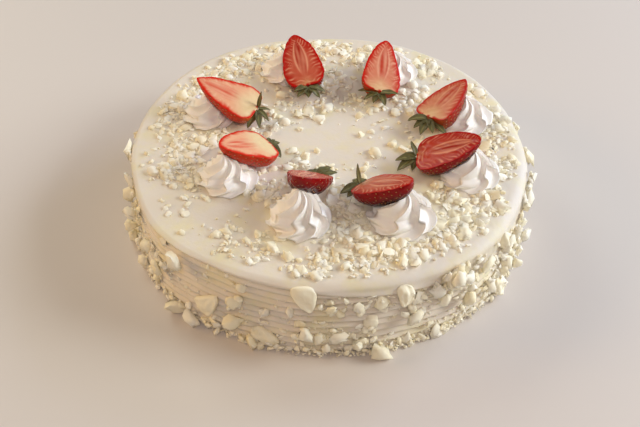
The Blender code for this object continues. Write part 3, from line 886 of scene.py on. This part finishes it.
def top_places(rng, count, loose=0.15):
    """Places on the top in the patches, clear of the rim and of the swirls and berries."""
    patches = np.array(TOP_PATCHES, float)
    pick = rng.choice(len(patches), count * 3, p=patches[:, 3] / patches[:, 3].sum())
    way = np.radians(patches[pick, 0])
    middle = np.stack([np.cos(way), np.sin(way)], -1) * patches[pick, 1:2] / 1000
    places = middle + rng.normal(size=(len(pick), 2)) * patches[pick, 2:3] / 1000 * 0.75
    spread = rng.random(len(pick)) < loose
    reach = TOP_R * np.sqrt(rng.uniform(0.03, 0.93, len(pick)))
    away = rng.uniform(0, 2 * np.pi, len(pick))
    anywhere = np.stack([reach * np.cos(away), reach * np.sin(away)], -1)
    places = np.where(spread[:, None], anywhere, places)
    keep = np.hypot(*places.T) < outline(np.arctan2(places[:, 1], places[:, 0])) - 0.005
    for n, berry in enumerate(berries, 1):
        low, high = (np.array(c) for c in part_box(f"rosette_{n}"))
        keep &= np.hypot(*(places - ((low + high) / 2)[:2]).T) > (high[0] - low[0]) / 2 * 0.98
        local = (np.c_[places, np.full(len(places), CAKE_H + 0.004)] - berry["stem"]) @ berry["axes"].T
        keep &= ~((local[:, 0] > -0.002) & (local[:, 0] < berry["length"])
                  & (np.abs(local[:, 1]) < berry["half"] * 0.55))
    return places[keep][:count]


def cluster_places(rng):
    """The side's large chunks and the small pieces round each, as directions, heights and sizes."""
    way, z, size = [], [], []
    for direction, height, largest, count in SIDE_CLUSTERS:
        away = rng.normal(0, 0.0007 * largest ** 0.9, (count, 2)) * (1.2, 0.8)
        way += [math.radians(direction), *(math.radians(direction) + away[:, 0] / FOOT_R)]
        z += [height / 1000, *(height / 1000 + away[:, 1] - 0.001)]
        size += [largest * CHUNK_START, *rng.uniform(0.0026, 0.0066, count)]
    return np.array(way), np.clip(z, 0.0015, CAKE_H - 0.003), np.array(size)


def snow_places(rng, count):
    """Directions and heights of fine crumbs on the side, most at the right and near the foot."""
    way = rng.uniform(-np.pi, np.pi, count * 4)
    z = rng.random(count * 4) ** 1.4 * (CAKE_H - 0.006) + 0.001
    thick = 0.16 + 0.84 * (0.5 + 0.5 * np.cos(way - SNOW_MIDDLE)) ** 2.2
    spot = np.stack([np.cos(way), np.sin(way), z / FOOT_R], -1) * FOOT_R
    thick = thick * smooth_step(0.5 + 0.55 * ripple(spot, 0.018, 411)) + 0.25 * (z < 0.005)
    keep = (rng.random(len(way)) < thick) & (z < np.maximum(band_bottom(way), 0.036))
    return way[keep][:count], z[keep][:count]


def rest_on_table(piece):
    """Points that would be under the table's height come up to it."""
    points = np.zeros(len(piece.data.vertices) * 3)
    piece.data.vertices.foreach_get("co", points)
    points[2::3] = np.maximum(points[2::3], 0.0)
    piece.data.vertices.foreach_set("co", points)


def scatter(name, seed, top, side, foot_count, size_range, skew, flatness, stack, proud, lean):
    """Broken pieces of one kind over the top, the side and the foot, as one joined mesh.
    Sizes run between the two limits, most near the smaller; flatness is the range of
    their thickness, stack is how far in sizes a pile's pieces lie over each other, and
    proud is how far in thicknesses a side piece's middle stands off the cream."""
    rng = np.random.default_rng(seed)
    way, z = side[:2]
    foot = rng.uniform(-np.pi, np.pi, foot_count)
    total = len(top) + len(way) + foot_count
    sizes = size_range[0] + (size_range[1] - size_range[0]) * rng.random(total) ** skew
    if len(side) == 3:
        sizes[len(top):len(top) + len(way)] = side[2]
    thick = rng.uniform(*flatness, total)
    squash = np.stack([np.ones(total), rng.uniform(0.55, 1.0, total), thick], -1)
    shapes, lattice = chunk_shapes(rng, sizes, squash)
    over = sizes * stack * rng.random(total) ** 2
    bulk = sizes * thick
    on_top = np.c_[top, top_height(top[:, 0], top[:, 1]) + over[:len(top)] + 0.05 * bulk[:len(top)]]
    reach = side_reach(way, z) + (over + proud * bulk)[len(top):len(top) + len(way)]
    on_side = around_axis(reach, way, z)
    reach = FOOT_R + rng.random(foot_count) ** 1.5 * 0.0030
    lift = sizes[len(top) + len(way):] * rng.uniform(0.25, 1.2, foot_count)
    at_foot = around_axis(reach, foot, lift)
    places = np.vstack([on_top, on_side, at_foot])
    away = unit(places * (1, 1, 0))
    away[:len(top)] = (0, 0, 1)
    frames = lying_frames(rng, away, lean)
    piece = copies(name, shapes, lattice_faces(lattice), frames, places, chocolate)
    piece.data.set_sharp_from_angle(angle=math.radians(80))
    rest_on_table(piece)
    set_attribute(piece.data, "tint", np.repeat(rng.random(total), len(lattice)))
    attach(piece, "root")


rng = np.random.default_rng(400)
scatter("chocolate_chunks", 401, top_places(rng, 620), cluster_places(rng), 20,
        (0.0040, 0.0100), 1.5, (0.30, 0.75), 0.06, 0.75, 0.30)
scatter("chocolate_chips", 402, top_places(rng, 1300), snow_places(rng, 300), 220,
        (0.0024, 0.0056), 1.1, (0.20, 0.55), 0.10, 0.26, 0.40)
scatter("chocolate_crumbs", 403, top_places(rng, 900), snow_places(rng, 1100), 600,
        (0.0010, 0.0024), 1.0, (0.3, 0.9), 0.3, 0.26, 0.8)

# Splinters: thin shavings with three sides, wider in the middle than at their ends.
rng = np.random.default_rng(404)
SPLINTERS = 1100
rings = [(-0.5, 0.25), (-0.1, 1.0), (0.25, 0.8), (0.5, 0.12)]
turn = np.linspace(0, 2 * np.pi, 3, endpoint=False)
splinter = np.vstack([np.stack([x + 0 * turn, 0.5 * r * np.cos(turn), 0.28 * r * np.sin(turn)], -1)
                      for x, r in rings])
splinter_faces = [(0, 2, 1), (9, 10, 11)]
for ring in range(3):
    for i in range(3):
        j = (i + 1) % 3
        splinter_faces.append((ring * 3 + i, ring * 3 + j, ring * 3 + 3 + j, ring * 3 + 3 + i))
way = rng.uniform(-np.pi, np.pi, SPLINTERS)
low_down = rng.random(SPLINTERS) < 0.93
z = np.where(low_down, rng.random(SPLINTERS) ** 2 * 0.004 + 0.0006,
             rng.uniform(0.003, 0.040, SPLINTERS))
length = rng.uniform(0.0018, 0.0044, SPLINTERS)
width = rng.uniform(0.0007, 0.0015, SPLINTERS)
shapes = splinter * np.stack([length, width, width], -1)[:, None]
bow = shapes[..., 0] ** 2 / length[:, None] * rng.normal(0, 0.5, (SPLINTERS, 1))
shapes[..., 2] += bow
frames = lying_frames(rng, rng.normal(size=(SPLINTERS, 3)), 0.1)
reach = side_reach(way, z) + np.where(low_down, rng.uniform(-0.0005, 0.0025, SPLINTERS), 0.0004)
places = around_axis(reach, way, z)
splinters = copies("chocolate_splinters", shapes, splinter_faces, frames, places, chocolate,
                   smooth=False)
rest_on_table(splinters)
set_attribute(splinters.data, "tint", np.repeat(rng.random(SPLINTERS) * 0.6, len(splinter)))
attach(splinters, "root")
